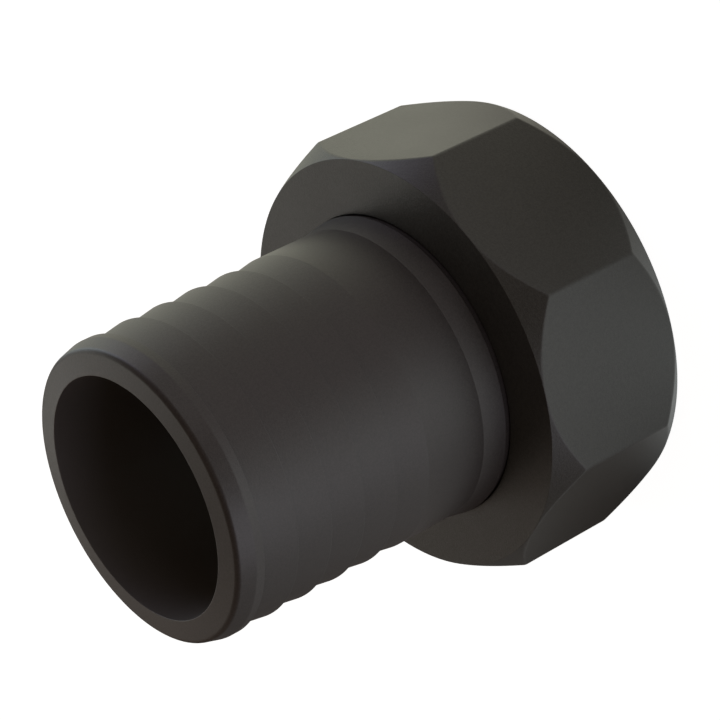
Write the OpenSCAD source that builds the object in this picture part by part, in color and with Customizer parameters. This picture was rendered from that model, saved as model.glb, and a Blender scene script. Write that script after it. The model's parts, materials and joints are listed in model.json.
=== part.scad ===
/* [Coupling thread] */
// Major diameter of the coupling thread, at its root inside the nut
thread_major_d = 100; // [50:1:160]
// Height of the thread ridges, measured on the radius
thread_height = 6; // [3:0.1:8]
// Lead-in chamfer at the mouth of the nut
mouth_chamfer = 1.5; // [0.5:0.1:2.5]

/* [Swivel nut] */
// Number of flats around the nut
nut_flats = 8; // [6, 8, 10, 12]
// Wall of the nut at the middle of a flat, outside the thread
nut_wall = 5; // [4:0.1:9]
// Length of the nut along its axis
nut_len = 43; // [38:0.5:60]
// How far the corner chamfer reaches along a corner edge, at both ends
nut_chamfer_len = 7.5; // [3:0.5:12]
// Rounding of the edges between two flats
nut_corner_round = 1.5; // [0.5:0.1:4]
// Thickness of the inward lip that holds the flange of the tail
lip_t = 7; // [4:0.5:10]
// How far the lip reaches inwards over the flange, on the radius
lip_reach = 3.3; // [2:0.1:5]

/* [Hose tail] */
// Thickness of the flange that seats on the lip of the nut
flange_t = 6; // [3:0.5:8]
// Height of the bead over the plain barrel, on the radius
bead_height = 1.15; // [0.6:0.05:3]
// Length of the ramp that climbs from the barrel to the bead
bead_ramp_len = 6.8; // [3:0.1:12]
// Rounding of the crest of the bead
bead_round = 0.5; // [0.2:0.1:0.8]
// Length of the plain barrel between the bead and the barbs
barrel_len = 17.6; // [5:0.1:40]
// How much the plain barrel stands over the barb crests, on the radius
barrel_rise = 0.1; // [0:0.05:0.5]
// Number of barbs
barb_count = 5; // [2:1:8]
// Distance from one barb to the next
barb_pitch = 10.2; // [6:0.1:15]
// Height of a barb, on the radius
barb_height = 1.6; // [0.8:0.1:2.5]
// Length of the flat land on the crest of each barb
barb_land = 0.5; // [0.2:0.1:1.5]
// Wall of the tail between its bore and the foot of a barb
tail_wall = 6.05; // [3:0.05:8]

/* [Nose of the tail] */
// Length of the nose, from the tip to the back of the first barb
nose_len = 7.7; // [6:0.1:14]
// Length of the lead-in cone at the tip
nose_cone_len = 5.4; // [3:0.1:6]
// How far the lead-in cone draws in at the tip, on the radius, before rounding
nose_drop = 1.3; // [0.5:0.05:2.5]
// How far the tip's face falls back from the bore to its outer edge, before rounding
nose_fall = 0.65; // [0:0.05:1.2]
// Rounding of the outer edge at the tip
nose_round = 1.4; // [0.5:0.1:2]

/* [Flat gasket] */
// Thickness of the gasket
gasket_t = 4; // [2:0.5:6]
// How far the hole of the gasket stands back from the bore, on the radius
gasket_setback = 2; // [0.5:0.1:5]

/* [Clearances] */
// Radial play between the neck of the tail and the hole in the nut
swivel_clear = 0.4; // [0.2:0.05:0.8]
// How much the bead is larger than the hole in the nut, on the radius
snap_overlap = 0.1; // [0:0.05:0.3]
// Gap between the back of the bead and the front face of the nut
bead_gap = 0.9; // [0.3:0.1:1.5]
// Gap between the flange and the lip of the nut
seat_gap = 0.2; // [0.1:0.05:0.5]
// Radial play between the flange and its seat in the nut
flange_clear = 0.4; // [0.2:0.05:0.8]
// Radial play between the gasket and its seat in the nut
gasket_clear = 0.5; // [0.2:0.05:1]

/* [Hidden] */

$fn = 180;
// Overlap of a cutting shape past the face that it cuts
cut = 1;
// Straight steps that make up one rounded edge
round_steps = 6;

// Radii of the nut, outwards from the thread
thread_r = thread_major_d / 2;
nut_flat_r = thread_r + nut_wall;
nut_corner_r = nut_flat_r / cos(180 / nut_flats);

// Radii inwards from the thread: each one is a step or a play from the one before
seat_r = thread_r - thread_height;
flange_r = seat_r - flange_clear;
gasket_r = seat_r - gasket_clear;
nut_hole_r = flange_r - lip_reach;
neck_r = nut_hole_r - swivel_clear;
bead_r = nut_hole_r + snap_overlap;
barrel_r = bead_r - bead_height;
crest_r = barrel_r - barrel_rise;
valley_r = crest_r - barb_height;
bore_r = valley_r - tail_wall;
gasket_hole_r = bore_r + gasket_setback;
nose_r = crest_r - nose_drop;

// Heights, from the mouth of the nut at z = 0 up to the tip of the tail
lip_z = nut_len - lip_t;
flange_top_z = lip_z - seat_gap;
flange_z = flange_top_z - flange_t;
gasket_z = flange_z - gasket_t;
bead_back_z = nut_len + bead_gap;
barrel_z = bead_back_z + bead_ramp_len;
first_barb_z = barrel_z + barrel_len + barb_count * barb_pitch;
tip_z = first_barb_z + nose_len;

// Inside corner between neck and flange, and the chamfer in the nut that clears it
neck_fillet = 0.8;
hole_relief = neck_fillet + 0.4;

// Points of an arc about [x, y], in round_steps equal steps
function arc(x, y, r, from, to) =
    [for (i = [0 : round_steps]) let (a = from + (to - from) * i / round_steps)
        [x + r * cos(a), y + r * sin(a)]];

// Outline of the nut seen along its axis, with rounded corners
function nut_outline() =
    let (centre_r = nut_corner_r - nut_corner_round / cos(180 / nut_flats))
    [for (k = [0 : nut_flats - 1])
        let (a = (k + 0.5) * 360 / nut_flats, half = 180 / nut_flats)
        each arc(centre_r * cos(a), centre_r * sin(a), nut_corner_round, a - half, a + half)];

// Body of revolution that cuts the same cone off the corners at both ends
module nut_envelope() {
    // The cone passes the flats' circle on the end face and is carried past the corners.
    past_r = nut_corner_r + cut;
    past_z = nut_chamfer_len * (past_r - nut_flat_r) / (nut_corner_r - nut_flat_r);
    rotate_extrude()
        polygon([
            [0, 0], [nut_flat_r, 0], [past_r, past_z],
            [past_r, nut_len - past_z], [nut_flat_r, nut_len], [0, nut_len]
        ]);
}

// Space inside the nut: thread root, seat of the flange and hole for the neck
module nut_cavity() {
    rotate_extrude()
        polygon([
            [0, -cut],
            [thread_r + mouth_chamfer + cut, -cut],
            [thread_r, mouth_chamfer],
            [thread_r, gasket_z],
            [seat_r, gasket_z],
            [seat_r, lip_z],
            [nut_hole_r + hole_relief, lip_z],
            [nut_hole_r, lip_z + hole_relief],
            [nut_hole_r, nut_len + cut],
            [0, nut_len + cut]
        ]);
}

module swivel_nut() {
    color("#33322f")
        difference() {
            intersection() {
                linear_extrude(nut_len) polygon(nut_outline());
                nut_envelope();
            }
            nut_cavity();
        }
}

// Rounded tip: lead-in cone from the first crest, rounded edge, face that falls back outwards
function nose_points() =
    let (
        lean = atan(nose_drop / (nose_cone_len - nose_fall)),
        fall = atan(nose_fall / (nose_r - bore_r)),
        edge_len = nose_round * tan((90 - fall - lean) / 2),
        x = nose_r - edge_len * cos(fall) - nose_round * sin(fall),
        z = tip_z - nose_fall + edge_len * sin(fall) - nose_round * cos(fall)
    )
    concat([[crest_r, tip_z - nose_cone_len]], arc(x, z, nose_round, lean, 90 - fall));

// One barb, from its sharp back edge down to the foot of the next one
function barb_points(k) =
    let (
        back_z = first_barb_z - k * barb_pitch,
        foot_r = k < barb_count - 1 ? crest_r : barrel_r
    )
    [[foot_r, back_z - barb_pitch + barb_land], [valley_r, back_z], [crest_r, back_z]];

// Barbs from the lowest one up, as the outline runs towards the tip
function barb_row() = [for (k = [barb_count - 1 : -1 : 0]) each barb_points(k)];

// Bead: square back towards the nut, rounded crest, long ramp down to the barrel
function bead_points() =
    let (lean = atan(bead_height / bead_ramp_len))
    concat(
        [[neck_r, bead_back_z]],
        arc(bead_r - bead_round, bead_back_z + bead_round, bead_round, -90, lean),
        [[barrel_r, barrel_z]]
    );

// Flange and the rounded inside corner up to the neck
function flange_points() =
    concat(
        [[bore_r, flange_z], [flange_r, flange_z], [flange_r, flange_top_z]],
        arc(neck_r + neck_fillet, flange_top_z + neck_fillet, neck_fillet, 270, 180)
    );

module hose_tail() {
    color("#383533")
        rotate_extrude()
            polygon(concat(
                flange_points(),
                bead_points(),
                barb_row(),
                nose_points(),
                [[bore_r, tip_z]]
            ));
}

module flat_gasket() {
    color("#161616")
        translate([0, 0, gasket_z])
            difference() {
                cylinder(h = gasket_t, r = gasket_r);
                translate([0, 0, -cut])
                    cylinder(h = gasket_t + 2 * cut, r = gasket_hole_r);
            }
}

swivel_nut();
hose_tail();
flat_gasket();
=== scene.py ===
"""Barbed hose tail with its captive swivel nut, coupling thread and flat gasket.

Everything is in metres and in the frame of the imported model: the mouth of the nut stands on
z = 0, and the common axis of nut and tail is +Z.
"""

import json
import math

import bmesh
import bpy
from bpy.props import FloatProperty, FloatVectorProperty, IntProperty, PointerProperty
from mathutils import Matrix, Vector


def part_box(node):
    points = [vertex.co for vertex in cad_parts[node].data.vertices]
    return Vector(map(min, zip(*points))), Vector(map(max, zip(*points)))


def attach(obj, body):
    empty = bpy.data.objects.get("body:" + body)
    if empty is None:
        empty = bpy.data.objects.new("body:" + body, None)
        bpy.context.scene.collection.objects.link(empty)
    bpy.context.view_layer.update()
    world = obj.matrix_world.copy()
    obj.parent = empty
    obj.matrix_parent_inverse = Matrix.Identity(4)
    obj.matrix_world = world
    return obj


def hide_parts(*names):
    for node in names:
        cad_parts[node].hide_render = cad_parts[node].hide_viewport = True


bl_info = {
    "name": "Hose Tail Adapter",
    "version": (1, 0, 0),
    "blender": (4, 5, 0),
    "location": "3D View > Sidebar > Adapter",
    "description": "Barbed hose tail with swivel nut, coupling thread, gasket and stage",
    "category": "Add Mesh",
}

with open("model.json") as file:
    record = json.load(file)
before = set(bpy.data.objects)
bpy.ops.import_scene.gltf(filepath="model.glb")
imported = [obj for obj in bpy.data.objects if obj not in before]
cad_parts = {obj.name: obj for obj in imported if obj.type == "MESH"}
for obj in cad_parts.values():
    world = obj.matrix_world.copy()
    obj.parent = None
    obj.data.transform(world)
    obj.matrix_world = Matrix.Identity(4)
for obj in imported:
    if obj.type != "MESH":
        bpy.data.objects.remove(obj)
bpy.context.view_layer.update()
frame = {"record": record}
_, nut_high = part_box("swivel_nut")
tail_low, tail_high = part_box("hose_tail")
gasket_low, gasket_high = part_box("flat_gasket")
MOUNTS = {mount["name"]: mount for mount in frame["record"]["mounts"]}

MM = 0.001
ORIGIN = (0.0, 0.0, 0.0)
UP = (0.0, 0.0, 1.0)
WHITE = (1.0, 1.0, 1.0)


def mount_radius(name):
    """Radius of one of the part's round mounts, in metres."""
    return MOUNTS[name]["dims"]["r_mm"] * MM


def size(name, description, default):
    """A length that a user can change."""
    return FloatProperty(
        name=name, description=description, default=default, min=0.0, precision=5, unit="LENGTH"
    )


def slope(name, description, degrees):
    """An angle of up to 45 degrees that a user can change."""
    return FloatProperty(
        name=name, description=description, default=math.radians(degrees), min=0.0,
        max=math.radians(45.0), subtype="ANGLE", unit="ROTATION",
    )


def colour(name, description, default):
    """A linear colour that a user can change."""
    return FloatVectorProperty(
        name=name, description=description, default=default, size=3, min=0.0, max=1.0,
        subtype="COLOR",
    )


def amount(name, description, default, high=1.0, unit="NONE"):
    """A plain number that a user can change."""
    return FloatProperty(
        name=name, description=description, default=default, min=0.0, max=high, unit=unit
    )


def count(name, description, default, low, high):
    """A whole number that a user can change."""
    return IntProperty(name=name, description=description, default=default, min=low, max=high)


class NutSizes(bpy.types.PropertyGroup):
    flats: count("Flats", "Number of flats round the nut", 8, 6, 12)
    flat_radius: size("Flat Radius", "From the axis to the middle of a flat", nut_high.x)
    length: size("Length", "Length of the nut along its axis", nut_high.z)
    corner_round: size("Corner Rounding", "Radius of the edge between two flats", 1.5 * MM)
    cone_length: size("Cone Length", "How far the cone reaches along a corner edge", 7.5 * MM)
    cone_land: size("Cone Land", "Width of the cone at the middle of a flat", 0.12 * MM)
    crease_round: size("Crease Rounding", "Tangent length between cone and flat", 0.5 * MM)
    mouth_chamfer: size("Mouth Chamfer", "Lead-in at the mouth", 1.5 * MM)
    thread_radius: size("Thread Radius", "Root of the thread", mount_radius("coupling_thread"))
    seat_radius: size("Seat Radius", "Seat of flange and gasket", 44.0 * MM)
    seat_height: size("Seat Height", "Height where the seat begins", gasket_low.z)
    lip_height: size("Lip Height", "Height of the lip's inner face", nut_high.z - 7.0 * MM)
    lip_relief: size("Lip Relief", "Chamfer at the inner edge of the lip", 1.2 * MM)
    hole_radius: size("Hole Radius", "Hole for the neck of the tail", 40.3 * MM)


class ThreadSizes(bpy.types.PropertyGroup):
    pitch: size("Pitch", "Rise of the ridge in one turn", 8.0 * MM)
    crest_radius: size("Crest Radius", "From the axis to the crest of the ridge", 44.1 * MM)
    crest_width: size("Crest Width", "Width of the ridge at its crest", 2.1 * MM)
    root_sink: size("Root Sink", "How deep the ridge's foot stands in the wall", 0.2 * MM)
    start: size("Start", "Height where the ridge starts", 2.0 * MM)
    end: size("End", "Height where the ridge ends", 25.2 * MM)
    load_angle: slope("Load Flank", "Slope of the flank that takes the load", 3.0)
    back_angle: slope("Back Flank", "Slope of the other flank", 30.0)
    run_out: amount("Run-out", "Part of a turn over which each end fades", 0.14)


class TailSizes(bpy.types.PropertyGroup):
    bore_radius: size("Bore Radius", "Bore through the tail", mount_radius("bore"))
    flange_radius: size("Flange Radius", "Flange that the nut holds", tail_high.x)
    flange_low: size("Flange Foot", "Height of the flange's lower face", tail_low.z)
    flange_top: size("Flange Top", "Height of its upper face", tail_low.z + 6.0 * MM)
    neck_radius: size("Neck Radius", "Neck inside the nut", 39.9 * MM)
    neck_fillet: size("Neck Fillet", "Rounding between flange and neck", 0.8 * MM)
    bead_radius: size("Bead Radius", "Corner of the bead, before its rounding", 40.5 * MM)
    bead_height: size("Bead Height", "Height of the bead's square back", 43.9 * MM)
    bead_round: size("Bead Rounding", "Tangent length of the bead's crest", 0.6 * MM)
    barrel_radius: size("Barrel Radius", "Plain barrel", mount_radius("hose_seat"))
    barrel_low: size("Barrel Foot", "Height where the bead's ramp ends", 50.7 * MM)
    barbs: count("Barbs", "Number of barbs", 5, 1, 8)
    barb_pitch: size("Barb Pitch", "From one barb to the next", 10.2 * MM)
    barb_land: size("Barb Land", "Flat land on a barb's crest", 0.15 * MM)
    crest_radius: size("Crest Radius", "Crest of a barb", 39.15 * MM)
    valley_radius: size("Valley Radius", "Foot of a barb", 37.55 * MM)
    nose_length: size("Nose Length", "From the tip to the first barb's back", 7.7 * MM)
    nose_cone: size("Nose Cone", "Length of the lead-in cone", 5.4 * MM)
    nose_radius: size("Nose Radius", "Corner of the tip, before its rounding", 37.85 * MM)
    nose_fall: size("Nose Fall", "How far the tip's face falls back outwards", 0.65 * MM)
    nose_round: size("Nose Rounding", "Tangent length of the tip's outer edge", 1.05 * MM)
    tip: size("Tip", "Height of the tip", tail_high.z)
    edge: size("Edge Softness", "Tangent length of the sharpest edges", 0.03 * MM)


class GasketSizes(bpy.types.PropertyGroup):
    radius: size("Radius", "Outer radius", gasket_high.x)
    hole_radius: size("Hole Radius", "Hole in the gasket", 33.5 * MM)
    low: size("Lower Face", "Height of the lower face", gasket_low.z)
    high: size("Upper Face", "Height of the upper face", gasket_high.z)
    edge: size("Edge Softness", "Tangent length of a cut edge", 0.3 * MM)


class Finishes(bpy.types.PropertyGroup):
    nut: colour("Nut", "Plastic of the nut", (0.020, 0.020, 0.018))
    nut_pale: colour("Nut Flecks", "Pale flecks in the nut's grain", (0.044, 0.044, 0.040))
    tail: colour("Tail", "Plastic of the tail", (0.024, 0.020, 0.020))
    tail_pale: colour("Tail Flecks", "Pale flecks in the tail's grain", (0.046, 0.040, 0.039))
    rubber: colour("Rubber", "Rubber of the gasket", (0.014, 0.014, 0.014))
    rubber_pale: colour("Rubber Bloom", "Bloom on the rubber", (0.030, 0.030, 0.031))
    # Painted light: the bore gets a paler colour that stands in for light reaching into it
    bore: colour("Bore", "Dull plastic of the bore", (0.095, 0.088, 0.086))
    # Paler colour of rubbed edges: partly edge wear, partly a painted highlight along the edges
    wear_and_highlight: colour("Worn Edge", "Plastic where an edge is rubbed", (0.075, 0.073, 0.069))


class StageSettings(bpy.types.PropertyGroup):
    floor: colour("Floor", "Colour of the floor", (0.4, 0.4, 0.4))
    backdrop: amount("Backdrop", "Strength of the floor's white in the background", 0.95, 2.0)
    glow: amount("Glow", "Strength of the floor's light that the part mirrors", 1.0, 2.0)
    world: amount("World", "Strength of the even light from all round", 0.15, 5.0)
    world_tint: colour("World Tint", "Colour of the even light", (1.0, 0.74, 0.53))
    lens: amount("Lens", "Focal length of the camera in millimetres", 152.131, 500.0, "CAMERA")


# Outlines and turned pieces

# Tangent lengths of the small roundings on moulded edges
CRISP_EDGE = 0.15 * MM
FINE_EDGE = 0.2 * MM
PLAIN_EDGE = 0.25 * MM
SOFT_EDGE = 0.3 * MM
RIDGE_EDGE = 0.35 * MM
FLANGE_EDGE = 0.5 * MM

# Up to this tangent length an edge is small: few steps, and fully rubbed, that is worn and painted
# paler as a highlight
SMALL_ROUNDING = 0.7 * MM
SMALL_STEPS, BROAD_STEPS = 4, 8
SMALL_RUB_AND_HIGHLIGHT, BROAD_RUB_AND_HIGHLIGHT = 1.0, 0.35

# Distance of a bracing point from the end of its run, most share of the run, shortest run
BRACE = 0.1 * MM
BRACE_SHARE = 0.04
SHORTEST_RUN = 0.3 * MM

# Steps in one full turn
TAIL_STEPS = 256
GASKET_STEPS = 192
THREAD_STEPS = 96


def new_outline():
    """An empty mesh with the layer that marks rubbed edges, worn and painted with a highlight."""
    bm = bmesh.new()
    bm.verts.layers.float.new("rub_and_highlight")
    return bm


def draw_outline(bm, corners):
    """Draws a closed outline on the XZ plane through (radius, height, rounding) corners."""
    points = [bm.verts.new((radius, 0.0, height)) for radius, height, _ in corners]
    for start, end in zip(points, points[1:] + points[:1]):
        bm.edges.new((start, end))
    return points


def soften_corners(bm, points, corners):
    """Rounds each corner by its own tangent length and marks how much it is rubbed and painted with
    a highlight.
    """
    rub_and_highlight = bm.verts.layers.float["rub_and_highlight"]
    for point, (_, _, rounding) in zip(points, corners):
        if rounding <= 0.0:
            continue
        small = rounding <= SMALL_ROUNDING
        made = bmesh.ops.bevel(
            bm, geom=[point], offset=rounding, offset_type="OFFSET",
            segments=SMALL_STEPS if small else BROAD_STEPS, profile=0.5,
            affect="VERTICES", material=-1, clamp_overlap=False,
        )
        for vert in made["verts"]:
            vert[rub_and_highlight] = SMALL_RUB_AND_HIGHLIGHT if small else BROAD_RUB_AND_HIGHLIGHT


def brace_runs(bm, edges):
    """Puts a point close to both ends of each straight run, so that its shading stays flat."""
    rub_and_highlight = bm.verts.layers.float["rub_and_highlight"]
    for edge in edges:
        length = edge.calc_length()
        if length < SHORTEST_RUN:
            continue
        start, end = edge.verts
        inset = min(BRACE, BRACE_SHARE * length)
        _, near = bmesh.utils.edge_split(edge, start, inset / length)
        rest = next(e for e in near.link_edges if end in e.verts)
        _, far = bmesh.utils.edge_split(rest, end, inset / rest.calc_length())
        near[rub_and_highlight] = far[rub_and_highlight] = 0.0


def turn_outline(bm, steps):
    """Spins the outline once round the axis and closes it."""
    bmesh.ops.spin(
        bm, geom=bm.verts[:] + bm.edges[:], cent=ORIGIN, axis=UP, angle=2.0 * math.pi,
        steps=steps, use_merge=True,
    )
    bmesh.ops.recalc_face_normals(bm, faces=bm.faces[:])


def build_turned(corners, steps):
    """A plain turned piece from its rounded corners."""
    bm = new_outline()
    points = draw_outline(bm, corners)
    soften_corners(bm, points, corners)
    brace_runs(bm, bm.edges[:])
    turn_outline(bm, steps)
    return bm


def add_piece(name, bm, material, body, node=None):
    """Makes the finished mesh a piece of the part, riding on its body."""
    for face in bm.faces:
        face.smooth = True
    mesh = bpy.data.meshes.new(name)
    bm.to_mesh(mesh)
    bm.free()
    mesh.materials.append(material)
    piece = bpy.data.objects.new(name, mesh)
    bpy.context.scene.collection.objects.link(piece)
    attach(piece, body)
    if node:
        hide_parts(node)


# Swivel nut

# Columns of vertices round one flat: on the rounding at each end, and across the flat
CORNER_COLUMNS = 4
FLAT_COLUMNS = 24
CORNER_BRACE = 0.12 * MM

# Rows of vertices down one side: on the cone, then round the crease to the flat
CONE_ROWS = 4
CREASE_STEPS = 6
# Most of the cone that the crease's rounding and a bracing row may take
CREASE_SHARE = 0.6
CONE_BRACE_SHARE = 0.15
# Heights of the rows between both creases, as shares of the nut's length
MIDDLE_ROWS = (0.62, 0.5, 0.38)


def column_angles(nut):
    """Angles of the columns of one flat from its middle, close together at both corners."""
    half = math.pi / nut.flats
    reach = nut.flat_radius * math.tan(half)
    tangent = nut.corner_round * math.tan(half)
    bend = half - math.atan((reach - tangent) / nut.flat_radius)
    near = [bend * i / (CORNER_COLUMNS - 1) for i in range(CORNER_COLUMNS)]
    near.append(bend + CORNER_BRACE / nut.flat_radius)
    side = nut.flat_radius * math.tan(half - near[-1])
    shares = [2.0 * i / FLAT_COLUMNS - 1.0 for i in range(1, FLAT_COLUMNS)]
    flat = [math.atan(side * share / nut.flat_radius) for share in shares]
    return [angle - half for angle in near] + flat + [half - angle for angle in reversed(near)]


def nut_radius(nut, angle):
    """Radius of the nut's rounded outline at an angle from the middle of a flat."""
    half = math.pi / nut.flats
    tangent = math.atan(math.tan(half) - nut.corner_round * math.tan(half) / nut.flat_radius)
    if abs(angle) <= tangent:
        return nut.flat_radius / math.cos(angle)
    centre = (nut.flat_radius - nut.corner_round) / math.cos(half)
    off = half - abs(angle)
    return centre * math.cos(off) + math.sqrt(nut.corner_round**2 - (centre * math.sin(off)) ** 2)


def side_rows(nut, angle):
    """(radius, depth below the end face) of the rows from that face to the flat, at one angle."""
    corner_radius = nut.flat_radius / math.cos(math.pi / nut.flats)
    lean = math.atan((corner_radius - nut.flat_radius) / nut.cone_length)
    face_radius = nut.flat_radius - nut.cone_land
    radius = nut_radius(nut, angle)
    cone = (radius - face_radius) / math.sin(lean)
    tangent = min(nut.crease_round, CREASE_SHARE * cone)
    brace = min(BRACE, CONE_BRACE_SHARE * cone)
    start = cone - tangent
    rows = [
        (face_radius + distance * math.sin(lean), distance * math.cos(lean))
        for distance in (0.0, brace, 0.5 * start, start - brace)
    ]
    bend = tangent / math.tan(0.5 * lean)
    flat_depth = cone * math.cos(lean) + tangent
    for i in range(CREASE_STEPS + 1):
        turn = lean * (1.0 - i / CREASE_STEPS)
        rows.append((radius - bend * (1.0 - math.cos(turn)), flat_depth - bend * math.sin(turn)))
    rows.append((radius, flat_depth + BRACE))
    return rows


def nut_rows(nut, angle):
    """(radius, height) of the nut's outer rows at one angle, from its front to its mouth."""
    side = side_rows(nut, angle)
    flat_radius, _ = side[-1]
    front = [(radius, nut.length - depth) for radius, depth in side]
    middle = [(flat_radius, nut.length * share) for share in MIDDLE_ROWS]
    return front + middle + side[::-1]


def cavity_corners(nut):
    """Corners of the space inside the nut, from the mouth up to the front face."""
    return [
        (nut.thread_radius + nut.mouth_chamfer, 0.0, FINE_EDGE),
        (nut.thread_radius, nut.mouth_chamfer, FINE_EDGE),
        (nut.thread_radius, nut.seat_height, SOFT_EDGE),
        (nut.seat_radius, nut.seat_height, PLAIN_EDGE),
        (nut.seat_radius, nut.lip_height, SOFT_EDGE),
        (nut.hole_radius + nut.lip_relief, nut.lip_height, CRISP_EDGE),
        (nut.hole_radius, nut.lip_height + nut.lip_relief, CRISP_EDGE),
        (nut.hole_radius, nut.length, PLAIN_EDGE),
    ]


def press_flats(bm, nut, columns, row_count):
    """Moves the outer rows of a round blank onto the nut's flats, corners and cones."""
    rub_and_highlight, row = bm.verts.layers.float["rub_and_highlight"], bm.verts.layers.int["row"]
    table = [nut_rows(nut, angle) for angle in columns]
    per_flat = len(columns) - 1
    total = per_flat * nut.flats
    step = 2.0 * math.pi / total
    creases = set(range(CONE_ROWS + 1, CONE_ROWS + CREASE_STEPS + 2))
    creases |= {row_count + 1 - number for number in creases}
    for vert in bm.verts:
        index = round(math.atan2(vert.co.y, vert.co.x) / step) % total
        sector, column = divmod(index, per_flat)
        angle = sector * 2.0 * math.pi / nut.flats + columns[column]
        radius, height, number = math.hypot(vert.co.x, vert.co.y), vert.co.z, vert[row]
        if number:
            radius, height = table[column][number - 1]
            at_corner = min(column, per_flat - column) < CORNER_COLUMNS - 1
            past_cones = CONE_ROWS < number <= row_count - CONE_ROWS
            # Creases and corner roundings are marked as rubbed: worn, and painted paler as a
            # highlight
            vert[rub_and_highlight] = 1.0 if number in creases or (at_corner and past_cones) else 0.0
        vert.co = (radius * math.cos(angle), radius * math.sin(angle), height)


def build_nut(nut):
    """Spins a round blank of the nut and presses its outer rows into flats and coned corners."""
    bm = new_outline()
    row = bm.verts.layers.int.new("row")
    cavity = cavity_corners(nut)
    outside = [(radius, height, 0.0) for radius, height in nut_rows(nut, 0.0)]
    corners = cavity + outside
    points = draw_outline(bm, corners)
    for number, point in enumerate(points[len(cavity):], 1):
        point[row] = number
    soften_corners(bm, points, corners)
    brace_runs(bm, [edge for edge in bm.edges if not all(vert[row] for vert in edge.verts)])
    columns = column_angles(nut)
    turn_outline(bm, (len(columns) - 1) * nut.flats)
    press_flats(bm, nut, columns, len(outside))
    bmesh.ops.recalc_face_normals(bm, faces=bm.faces[:])
    return bm


def build_thread(nut, thread):
    """Winds the ridge of the coupling thread up the wall of the nut and fades its ends."""
    bm = new_outline()
    start_height = bm.verts.layers.float.new("start_height")
    root = nut.thread_radius + thread.root_sink
    rise = root - thread.crest_radius
    crest_low = rise * math.tan(thread.back_angle)
    crest_high = crest_low + thread.crest_width
    width = crest_high + rise * math.tan(thread.load_angle)
    corners = [
        (root, 0.0, 0.0),
        (thread.crest_radius, crest_low, RIDGE_EDGE),
        (thread.crest_radius, crest_high, RIDGE_EDGE),
        (root, width, 0.0),
    ]
    points = draw_outline(bm, corners)
    soften_corners(bm, points, corners)
    brace_runs(bm, bm.edges[:])
    for vert in bm.verts:
        vert[start_height] = vert.co.z
        vert.co.z += thread.start
    turns = (thread.end - thread.start - width) / thread.pitch
    steps = int(turns * THREAD_STEPS)
    bmesh.ops.spin(
        bm, geom=bm.verts[:] + bm.edges[:], cent=ORIGIN, axis=UP, angle=2.0 * math.pi * turns,
        dvec=(0.0, 0.0, turns * thread.pitch / steps), steps=steps, use_merge=False,
    )
    for vert in bm.verts:
        turned = (vert.co.z - thread.start - vert[start_height]) / thread.pitch
        share = max(0.0, min(1.0, min(turned, turns - turned) / thread.run_out))
        height_share = share * share * (3.0 - 2.0 * share)
        radius = math.hypot(vert.co.x, vert.co.y)
        scale = (root + (radius - root) * height_share) / radius
        vert.co.x *= scale
        vert.co.y *= scale
    bmesh.ops.holes_fill(bm, edges=[edge for edge in bm.edges if edge.is_boundary], sides=0)
    bmesh.ops.recalc_face_normals(bm, faces=bm.faces[:])
    # It goes by the outermost face, which can lie in a run-out with no thickness: the volume tells.
    if bm.calc_volume(signed=True) < 0.0:
        bmesh.ops.reverse_faces(bm, faces=bm.faces[:])
    return bm


# Hose tail and gasket


def tail_corners(tail):
    """Corners of the tail's outline: flange, neck, bead, barrel, barbs, nose and bore."""
    first_barb = tail.tip - tail.nose_length
    corners = [
        (tail.bore_radius, tail.flange_low, SOFT_EDGE),
        (tail.flange_radius, tail.flange_low, FLANGE_EDGE),
        (tail.flange_radius, tail.flange_top, FLANGE_EDGE),
        (tail.neck_radius, tail.flange_top, tail.neck_fillet),
        (tail.neck_radius, tail.bead_height, CRISP_EDGE),
        (tail.bead_radius, tail.bead_height, tail.bead_round),
        (tail.barrel_radius, tail.barrel_low, tail.edge),
    ]
    for number in reversed(range(tail.barbs)):
        back = first_barb - number * tail.barb_pitch
        foot = tail.barrel_radius if number == tail.barbs - 1 else tail.crest_radius
        corners += [
            (foot, back - tail.barb_pitch + tail.barb_land, tail.edge),
            (tail.valley_radius, back, tail.edge),
            (tail.crest_radius, back, tail.edge),
        ]
    corners += [
        (tail.crest_radius, tail.tip - tail.nose_cone, FINE_EDGE),
        (tail.nose_radius, tail.tip - tail.nose_fall, tail.nose_round),
        (tail.bore_radius, tail.tip, CRISP_EDGE),
    ]
    return corners


def gasket_corners(gasket):
    """Corners of the gasket's section."""
    return [
        (gasket.hole_radius, gasket.low, gasket.edge),
        (gasket.radius, gasket.low, gasket.edge),
        (gasket.radius, gasket.high, gasket.edge),
        (gasket.hole_radius, gasket.high, gasket.edge),
    ]


# Finishes

# Grain of the black plastic, counted per metre
PITS, PEBBLES, CLOUDS = 3400.0, 1500.0, 45.0
# How much pits and pebbles add to the grain's height
PIT_DEPTH, PEBBLE_DEPTH = 0.7, 0.5
# Values of a pattern between which its flecks, clouds or rubbed patches come up
FLECK_RANGE = (0.45, 0.75)
CLOUD_RANGE = (0.3, 0.7)
PATCH_RANGE = (0.35, 0.7)
# How much smoother a rubbed edge is
RUB_POLISH = 0.12
# How far the bore's painted light reaches past its radius
BORE_LIGHT_MARGIN = 0.1 * MM


def new_group(name, inputs, outputs):
    """A shader node group with named number inputs and outputs, and its two end nodes."""
    group = bpy.data.node_groups.new(name, "ShaderNodeTree")
    for label, value in inputs.items():
        socket = group.interface.new_socket(
            name=label, in_out="INPUT", socket_type="NodeSocketFloat"
        )
        socket.default_value = value
    for label in outputs:
        group.interface.new_socket(name=label, in_out="OUTPUT", socket_type="NodeSocketFloat")
    return group, group.nodes.new("NodeGroupInput"), group.nodes.new("NodeGroupOutput")


def place_group(tree, group, values):
    """Places a node group in a material with its own values; gives its outputs."""
    node = tree.nodes.new("ShaderNodeGroup")
    node.node_tree = group
    for label, value in values.items():
        node.inputs[label].default_value = value
    return node.outputs


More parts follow.
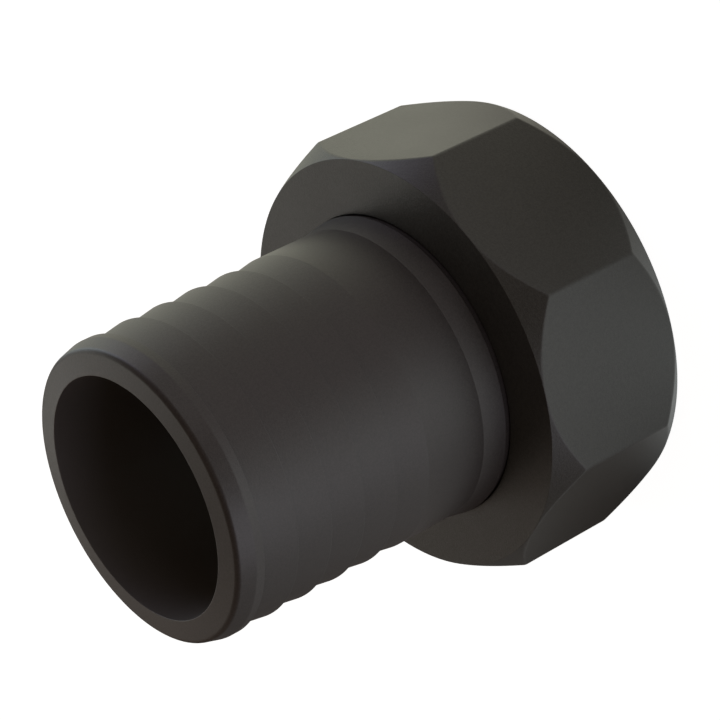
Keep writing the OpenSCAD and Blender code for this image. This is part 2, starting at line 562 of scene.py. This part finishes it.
def object_place(tree):
    """The place on the piece's own coordinates."""
    return tree.nodes.new("ShaderNodeTexCoord").outputs["Object"]


def add_math(tree, operation, first, second, clamp=False):
    """A Math node fed by sockets or numbers; gives its output."""
    node = tree.nodes.new("ShaderNodeMath")
    node.operation, node.use_clamp = operation, clamp
    for socket, value in zip(node.inputs, (first, second)):
        if isinstance(value, (int, float)):
            socket.default_value = value
        else:
            tree.links.new(value, socket)
    return node.outputs["Value"]


def add_noise(tree, where, scale, detail, rough):
    """A noise pattern; where and scale are sockets."""
    node = tree.nodes.new("ShaderNodeTexNoise")
    node.inputs["Detail"].default_value = detail
    node.inputs["Roughness"].default_value = rough
    tree.links.new(where, node.inputs["Vector"])
    tree.links.new(scale, node.inputs["Scale"])
    return node.outputs["Fac"]


def add_range(tree, value, given, wanted=(0.0, 1.0)):
    """Stretches a value from one range to another, clamped."""
    node = tree.nodes.new("ShaderNodeMapRange")
    for label, limit in zip(("From Min", "From Max", "To Min", "To Max"), (*given, *wanted)):
        node.inputs[label].default_value = limit
    tree.links.new(value, node.inputs["Value"])
    return node.outputs["Result"]


def add_blend(tree, factor, first, second):
    """A colour mix fed by sockets or linear colours; gives its output."""
    node = tree.nodes.new("ShaderNodeMix")
    node.data_type = "RGBA"
    tree.links.new(factor, node.inputs["Factor"])
    for label, value in (("A", first), ("B", second)):
        if isinstance(value, bpy.types.NodeSocket):
            tree.links.new(value, node.inputs[label])
        else:
            node.inputs[label].default_value = (*value, 1.0)
    return node.outputs["Result"]


def moulded_grain():
    """Grain of a spark-eroded mould: fine pits, larger pebbles and slow clouds of shade."""
    if "Moulded Grain" in bpy.data.node_groups:
        return bpy.data.node_groups["Moulded Grain"]
    group, given, wanted = new_group(
        "Moulded Grain",
        {"Pits per Metre": PITS, "Pebbles per Metre": PEBBLES, "Clouds per Metre": CLOUDS},
        ["Height", "Fleck", "Cloud"],
    )
    where = object_place(group)
    pits = add_noise(group, where, given.outputs["Pits per Metre"], detail=1.0, rough=0.6)
    pebbles = add_noise(group, where, given.outputs["Pebbles per Metre"], detail=2.0, rough=0.5)
    clouds = add_noise(group, where, given.outputs["Clouds per Metre"], detail=3.0, rough=0.55)
    pits = add_math(group, "MULTIPLY", pits, PIT_DEPTH)
    pebbles = add_math(group, "MULTIPLY", pebbles, PEBBLE_DEPTH)
    height = add_math(group, "ADD", pits, pebbles)
    group.links.new(height, wanted.inputs["Height"])
    group.links.new(add_range(group, height, FLECK_RANGE), wanted.inputs["Fleck"])
    group.links.new(add_range(group, clouds, CLOUD_RANGE), wanted.inputs["Cloud"])
    return group


def rubbed_and_highlit_edges():
    """Mask of the edges that handling has rubbed and that get a painted highlight, broken up along
    their length.
    """
    if "Rubbed and Highlit Edges" in bpy.data.node_groups:
        return bpy.data.node_groups["Rubbed and Highlit Edges"]
    group, given, wanted = new_group(
        "Rubbed and Highlit Edges", {"Patches per Metre": 120.0, "Share": 0.5}, ["Mask"]
    )
    mark = group.nodes.new("ShaderNodeAttribute")
    mark.attribute_name = "rub_and_highlight"
    patches = add_noise(
        group, object_place(group), given.outputs["Patches per Metre"], detail=3.0, rough=0.6
    )
    patches = add_range(group, patches, PATCH_RANGE)
    mask = add_math(group, "MULTIPLY", mark.outputs["Fac"], patches)
    mask = add_math(group, "MULTIPLY", mask, given.outputs["Share"], clamp=True)
    group.links.new(mask, wanted.inputs["Mask"])
    return group


def moulded_material(
    name, dark, pale, wear_and_highlight, *, pits, pebbles, clouds, fleck, rough, depth, shine, rub_and_highlight
):
    """Moulded plastic or rubber: colour, roughness and bump all follow the grain."""
    material = bpy.data.materials.new(name)
    material.use_nodes = True
    tree = material.node_tree
    shader = tree.nodes["Principled BSDF"]
    grain = place_group(
        tree, moulded_grain(),
        {"Pits per Metre": pits, "Pebbles per Metre": pebbles, "Clouds per Metre": clouds},
    )
    edges = place_group(tree, rubbed_and_highlit_edges(), {"Share": rub_and_highlight})
    flecks = add_math(tree, "MULTIPLY", grain["Fleck"], fleck)
    shade = add_math(tree, "MULTIPLY", grain["Cloud"], 1.0 - fleck)
    shade = add_math(tree, "ADD", flecks, shade, clamp=True)
    # Rubbed edges take a paler colour: partly wear, partly a painted highlight
    tint = add_blend(tree, edges["Mask"], add_blend(tree, shade, dark, pale), wear_and_highlight)
    tree.links.new(tint, shader.inputs["Base Color"])
    gloss = add_range(tree, grain["Cloud"], (0.0, 1.0), rough)
    polish = add_math(tree, "MULTIPLY", edges["Mask"], RUB_POLISH)
    gloss = add_math(tree, "SUBTRACT", gloss, polish, clamp=True)
    tree.links.new(gloss, shader.inputs["Roughness"])
    bump = tree.nodes.new("ShaderNodeBump")
    bump.inputs["Strength"].default_value = 1.0
    bump.inputs["Distance"].default_value = depth
    tree.links.new(grain["Height"], bump.inputs["Height"])
    tree.links.new(bump.outputs["Normal"], shader.inputs["Normal"])
    shader.inputs["Specular IOR Level"].default_value = shine
    return material


def plastic(name, dark, pale, wear_and_highlight, depth, rub_and_highlight):
    """Black moulded polypropylene with a matt grain."""
    return moulded_material(
        name, dark, pale, wear_and_highlight, pits=PITS, pebbles=PEBBLES, clouds=CLOUDS, fleck=0.8,
        rough=(0.41, 0.44), depth=depth, shine=0.5, rub_and_highlight=rub_and_highlight,
    )


def paint_bore_light(material, radius, tint):
    """Paints light into the bore of a turned piece as a paler colour, by the distance from the
    axis.
    """
    tree = material.node_tree
    base = tree.nodes["Principled BSDF"].inputs["Base Color"]
    grained = base.links[0].from_socket
    place = tree.nodes.new("ShaderNodeSeparateXYZ")
    tree.links.new(object_place(tree), place.inputs["Vector"])
    squares = [
        add_math(tree, "MULTIPLY", place.outputs[axis], place.outputs[axis]) for axis in "XY"
    ]
    inside = add_math(tree, "LESS_THAN", add_math(tree, "ADD", *squares), radius**2)
    tree.links.new(add_blend(tree, inside, grained, tint), base)


# Operators for the pieces


class ADAPTER_OT_hose_tail(bpy.types.Operator):
    """Add the barbed hose tail with its nose, barrel, bead, neck and flange"""

    bl_idname = "adapter.hose_tail"
    bl_label = "Hose Tail"
    bl_options = {"REGISTER", "UNDO"}

    def execute(self, context):
        tail, looks = context.scene.adapter_tail, context.scene.adapter_finishes
        finish = plastic(
            "Tail Plastic", looks.tail, looks.tail_pale, looks.wear_and_highlight, depth=0.03 * MM, rub_and_highlight=0.04
        )
        # Painted light: a paler colour inside the bore
        paint_bore_light(finish, tail.bore_radius + BORE_LIGHT_MARGIN, looks.bore)
        turned = build_turned(tail_corners(tail), TAIL_STEPS)
        add_piece("tail_body", turned, finish, "tail", "hose_tail")
        return {"FINISHED"}


class ADAPTER_OT_swivel_nut(bpy.types.Operator):
    """Add the octagonal swivel nut with its coned corners and stepped cavity"""

    bl_idname = "adapter.swivel_nut"
    bl_label = "Swivel Nut"
    bl_options = {"REGISTER", "UNDO"}

    def execute(self, context):
        nut, looks = context.scene.adapter_nut, context.scene.adapter_finishes
        finish = plastic(
            "Nut Plastic", looks.nut, looks.nut_pale, looks.wear_and_highlight, depth=0.06 * MM, rub_and_highlight=0.1
        )
        add_piece("nut_body", build_nut(nut), finish, "nut", "swivel_nut")
        return {"FINISHED"}


class ADAPTER_OT_coupling_thread(bpy.types.Operator):
    """Add the coarse buttress ridge inside the mouth of the nut, in the nut's plastic"""

    bl_idname = "adapter.coupling_thread"
    bl_label = "Coupling Thread"
    bl_options = {"REGISTER", "UNDO"}

    def execute(self, context):
        scene = context.scene
        finish = bpy.data.materials["Nut Plastic"]
        ridge = build_thread(scene.adapter_nut, scene.adapter_thread)
        add_piece("thread_ridge", ridge, finish, "nut")
        return {"FINISHED"}


class ADAPTER_OT_gasket(bpy.types.Operator):
    """Add the flat rubber gasket under the flange"""

    bl_idname = "adapter.gasket"
    bl_label = "Flat Gasket"
    bl_options = {"REGISTER", "UNDO"}

    def execute(self, context):
        gasket, looks = context.scene.adapter_gasket, context.scene.adapter_finishes
        finish = moulded_material(
            # The bloom colour doubles as the rubbed edges' colour: wear and a painted highlight
            "Gasket Rubber", looks.rubber, looks.rubber_pale, looks.rubber_pale,
            pits=1800.0, pebbles=500.0, clouds=60.0, fleck=0.35, rough=(0.72, 0.88),
            depth=0.015 * MM, shine=0.4, rub_and_highlight=0.3,
        )
        turned = build_turned(gasket_corners(gasket), GASKET_STEPS)
        add_piece("gasket_ring", turned, finish, "tail", "flat_gasket")
        return {"FINISHED"}


# Stage: angles in degrees, azimuth from +X towards +Y, distances in metres

# Point of the part that the camera and the lamps face
AIM = Vector((5.1236, 2.1941, 52.8446)) * MM
CAMERA_AZIMUTH, CAMERA_ELEVATION, CAMERA_ROLL = -66.81786, 32.60807, -116.54915
CAMERA_DISTANCE = 0.7581405
SENSOR_WIDTH = 36.0
CLIP_START, CLIP_END = 0.02, 20.0

LAMP_DISTANCE, LAMP_WIDTH, LAMP_HEIGHT = 0.8, 0.6, 0.3
LAMPS = [
    # name, azimuth, elevation, power, colour
    ("left", -120.0, 9.0, 0.95, (0.87, 0.87, 1.0)),
    ("front", -30.0, 9.0, 0.4, (1.0, 0.97, 0.97)),
    ("right", 30.0, 9.0, 0.79, (0.76, 0.73, 1.0)),
    ("back", 60.0, 9.0, 1.06, (0.79, 0.94, 1.0)),
    ("back_high", 90.0, 30.0, 0.67, (0.96, 1.0, 0.96)),
    ("far", 120.0, 30.0, 0.29, (1.0, 0.92, 0.86)),
]

FLOOR_HALF = 4.0
# Stretches of the floor: near the part up to the first distance, away from the second on
ALL, NEAR, AWAY = range(3)
NEAR_END, AWAY_START = 0.1, 0.14
# Light that the floor gives to mirrored rays alone, brightest towards each azimuth
GLOWS = [
    # azimuth, sharpness, strength, stretch of the floor, colour
    (45.0, 2.0, 0.88, ALL, (0.98, 1.0, 0.8)),
    (-95.0, 6.5, 1.0, ALL, (0.95, 1.0, 0.99)),
    (-135.0, 3.0, 0.66, AWAY, (0.98, 1.0, 0.98)),
    (-45.0, 3.0, 0.55, AWAY, (1.0, 0.93, 0.91)),
    (-15.0, 2.0, 0.42, NEAR, (1.0, 0.95, 0.8)),
]


def away(azimuth, elevation):
    """Unit vector that points away from the part."""
    a, e = math.radians(azimuth), math.radians(elevation)
    return Vector((math.cos(a) * math.cos(e), math.sin(a) * math.cos(e), math.sin(e)))


def add_vector_math(tree, operation, first, second=None):
    """A Vector Math node fed by a socket and, where it takes one, a fixed vector."""
    node = tree.nodes.new("ShaderNodeVectorMath")
    node.operation = operation
    tree.links.new(first, node.inputs[0])
    if second is not None:
        node.inputs[1].default_value = second
    return node


def glow_lobes(tree, strength, mirrored):
    """(strength, colour) of each glow that the part mirrors in the floor."""
    where = object_place(tree)
    direction = add_vector_math(tree, "NORMALIZE", where).outputs["Vector"]
    distance = add_vector_math(tree, "LENGTH", where).outputs["Value"]
    apart = add_range(tree, distance, (NEAR_END, AWAY_START))
    stretches = {AWAY: apart, NEAR: add_math(tree, "SUBTRACT", 1.0, apart)}
    lobes = []
    for azimuth, sharpness, share, stretch, tint in GLOWS:
        towards = add_vector_math(tree, "DOT_PRODUCT", direction, away(azimuth, 0.0))
        lobe = add_math(tree, "MAXIMUM", towards.outputs["Value"], 0.0)
        lobe = add_math(tree, "POWER", lobe, sharpness)
        if stretch in stretches:
            lobe = add_math(tree, "MULTIPLY", lobe, stretches[stretch])
        lobe = add_math(tree, "MULTIPLY", lobe, share * strength)
        lobes.append((add_math(tree, "MULTIPLY", lobe, mirrored), tint))
    return lobes


def floor_material(settings):
    """Pale matt floor: white for the camera, aglow where the part mirrors it, clear from below."""
    material = bpy.data.materials.new("Pale Floor")
    material.use_nodes = True
    material.cycles.emission_sampling = "NONE"
    tree = material.node_tree
    tree.nodes.clear()
    out = tree.nodes.new("ShaderNodeOutputMaterial")
    matt = tree.nodes.new("ShaderNodeBsdfDiffuse")
    matt.inputs["Color"].default_value = (*settings.floor, 1.0)
    path = tree.nodes.new("ShaderNodeLightPath").outputs
    seen = path["Is Camera Ray"]
    mirrored = add_math(tree, "MAXIMUM", path["Is Glossy Ray"], path["Is Transmission Ray"])
    layers = [(add_math(tree, "MULTIPLY", seen, settings.backdrop), WHITE)]
    layers += glow_lobes(tree, settings.glow, mirrored)
    floor = matt.outputs["BSDF"]
    for strength, tint in layers:
        glow = tree.nodes.new("ShaderNodeEmission")
        glow.inputs["Color"].default_value = (*tint, 1.0)
        tree.links.new(strength, glow.inputs["Strength"])
        layer = tree.nodes.new("ShaderNodeAddShader")
        tree.links.new(floor, layer.inputs[0])
        tree.links.new(glow.outputs["Emission"], layer.inputs[1])
        floor = layer.outputs["Shader"]
    clear = tree.nodes.new("ShaderNodeBsdfTransparent")
    side = tree.nodes.new("ShaderNodeNewGeometry")
    mix = tree.nodes.new("ShaderNodeMixShader")
    below = add_math(tree, "MULTIPLY", side.outputs["Backfacing"], seen)
    tree.links.new(below, mix.inputs["Fac"])
    tree.links.new(floor, mix.inputs[1])
    tree.links.new(clear.outputs["BSDF"], mix.inputs[2])
    tree.links.new(mix.outputs["Shader"], out.inputs["Surface"])
    return material


def add_floor(settings):
    """A wide pale floor that the mouth of the nut stands on."""
    bm = bmesh.new()
    bmesh.ops.create_grid(bm, x_segments=1, y_segments=1, size=FLOOR_HALF)
    mesh = bpy.data.meshes.new("floor")
    bm.to_mesh(mesh)
    bm.free()
    mesh.materials.append(floor_material(settings))
    floor = bpy.data.objects.new("floor", mesh)
    bpy.context.scene.collection.objects.link(floor)


def add_world(settings):
    """Even light from all round, which the camera sees as plain white."""
    world = bpy.data.worlds.new("Studio")
    world.use_nodes = True
    bpy.context.scene.world = world
    tree = world.node_tree
    back = tree.nodes["Background"]
    seen = tree.nodes.new("ShaderNodeLightPath").outputs["Is Camera Ray"]
    tint = add_blend(tree, seen, settings.world_tint, WHITE)
    strength = add_range(tree, seen, (0.0, 1.0), (settings.world, 1.0))
    tree.links.new(tint, back.inputs["Color"])
    tree.links.new(strength, back.inputs["Strength"])


def add_lamp(name, azimuth, elevation, power, tint):
    """A soft lamp that faces the aim point."""
    light = bpy.data.lights.new(name, "AREA")
    light.shape, light.size, light.size_y = "RECTANGLE", LAMP_WIDTH, LAMP_HEIGHT
    light.energy, light.color = power, tint
    lamp = bpy.data.objects.new(name, light)
    direction = away(azimuth, elevation)
    lamp.location = AIM + LAMP_DISTANCE * direction
    lamp.rotation_mode = "QUATERNION"
    lamp.rotation_quaternion = direction.to_track_quat("Z", "Y")
    bpy.context.scene.collection.objects.link(lamp)


def add_camera(settings):
    """The camera at the photograph's place, rolled as the photograph is."""
    data = bpy.data.cameras.new("camera")
    data.lens, data.sensor_width = settings.lens, SENSOR_WIDTH
    data.clip_start, data.clip_end = CLIP_START, CLIP_END
    camera = bpy.data.objects.new("camera", data)
    place = AIM + CAMERA_DISTANCE * away(CAMERA_AZIMUTH, CAMERA_ELEVATION)
    camera.matrix_world = (
        Matrix.Translation(place)
        @ Matrix.Rotation(math.radians(CAMERA_AZIMUTH + 90.0), 4, "Z")
        @ Matrix.Rotation(math.radians(90.0 - CAMERA_ELEVATION), 4, "X")
        @ Matrix.Rotation(math.radians(CAMERA_ROLL), 4, "Z")
    )
    bpy.context.scene.collection.objects.link(camera)
    bpy.context.scene.camera = camera


class ADAPTER_OT_stage(bpy.types.Operator):
    """Add the pale floor, the soft lamps, the world and the camera"""

    bl_idname = "adapter.stage"
    bl_label = "Stage"
    bl_options = {"REGISTER", "UNDO"}

    def execute(self, context):
        settings = context.scene.adapter_stage
        context.scene.view_settings.view_transform = "Standard"
        add_floor(settings)
        add_world(settings)
        for lamp in LAMPS:
            add_lamp(*lamp)
        add_camera(settings)
        return {"FINISHED"}


def list_settings(box, settings):
    """Lists every value of a property group in a box of the panel."""
    for name in settings.__annotations__:
        box.prop(settings, name)


class ADAPTER_PT_panel(bpy.types.Panel):
    """Steps of the adapter with their sizes, and its finishes"""

    bl_label = "Hose Tail Adapter"
    bl_idname = "ADAPTER_PT_panel"
    bl_space_type = "VIEW_3D"
    bl_region_type = "UI"
    bl_category = "Adapter"

    def draw(self, context):
        for operator, holder in STEPS.items():
            box = self.layout.box()
            box.operator(operator)
            list_settings(box, getattr(context.scene, holder))
        box = self.layout.box()
        box.label(text="Finishes")
        list_settings(box, context.scene.adapter_finishes)


GROUPS = {
    "adapter_nut": NutSizes,
    "adapter_thread": ThreadSizes,
    "adapter_tail": TailSizes,
    "adapter_gasket": GasketSizes,
    "adapter_finishes": Finishes,
    "adapter_stage": StageSettings,
}
STEPS = {
    "adapter.hose_tail": "adapter_tail",
    "adapter.swivel_nut": "adapter_nut",
    "adapter.coupling_thread": "adapter_thread",
    "adapter.gasket": "adapter_gasket",
    "adapter.stage": "adapter_stage",
}
CLASSES = [
    *GROUPS.values(),
    ADAPTER_OT_hose_tail,
    ADAPTER_OT_swivel_nut,
    ADAPTER_OT_coupling_thread,
    ADAPTER_OT_gasket,
    ADAPTER_OT_stage,
    ADAPTER_PT_panel,
]


def register():
    """Registers the classes and gives the scene its property groups."""
    for cls in CLASSES:
        bpy.utils.register_class(cls)
    for holder, group in GROUPS.items():
        setattr(bpy.types.Scene, holder, PointerProperty(type=group))


def unregister():
    """Takes both away again."""
    for holder in GROUPS:
        delattr(bpy.types.Scene, holder)
    for cls in reversed(CLASSES):
        bpy.utils.unregister_class(cls)


def main():
    """Makes every piece and the stage."""
    register()
    bpy.ops.adapter.hose_tail()
    bpy.ops.adapter.swivel_nut()
    bpy.ops.adapter.coupling_thread()
    bpy.ops.adapter.gasket()
    bpy.ops.adapter.stage()


if __name__ == "__main__":
    main()
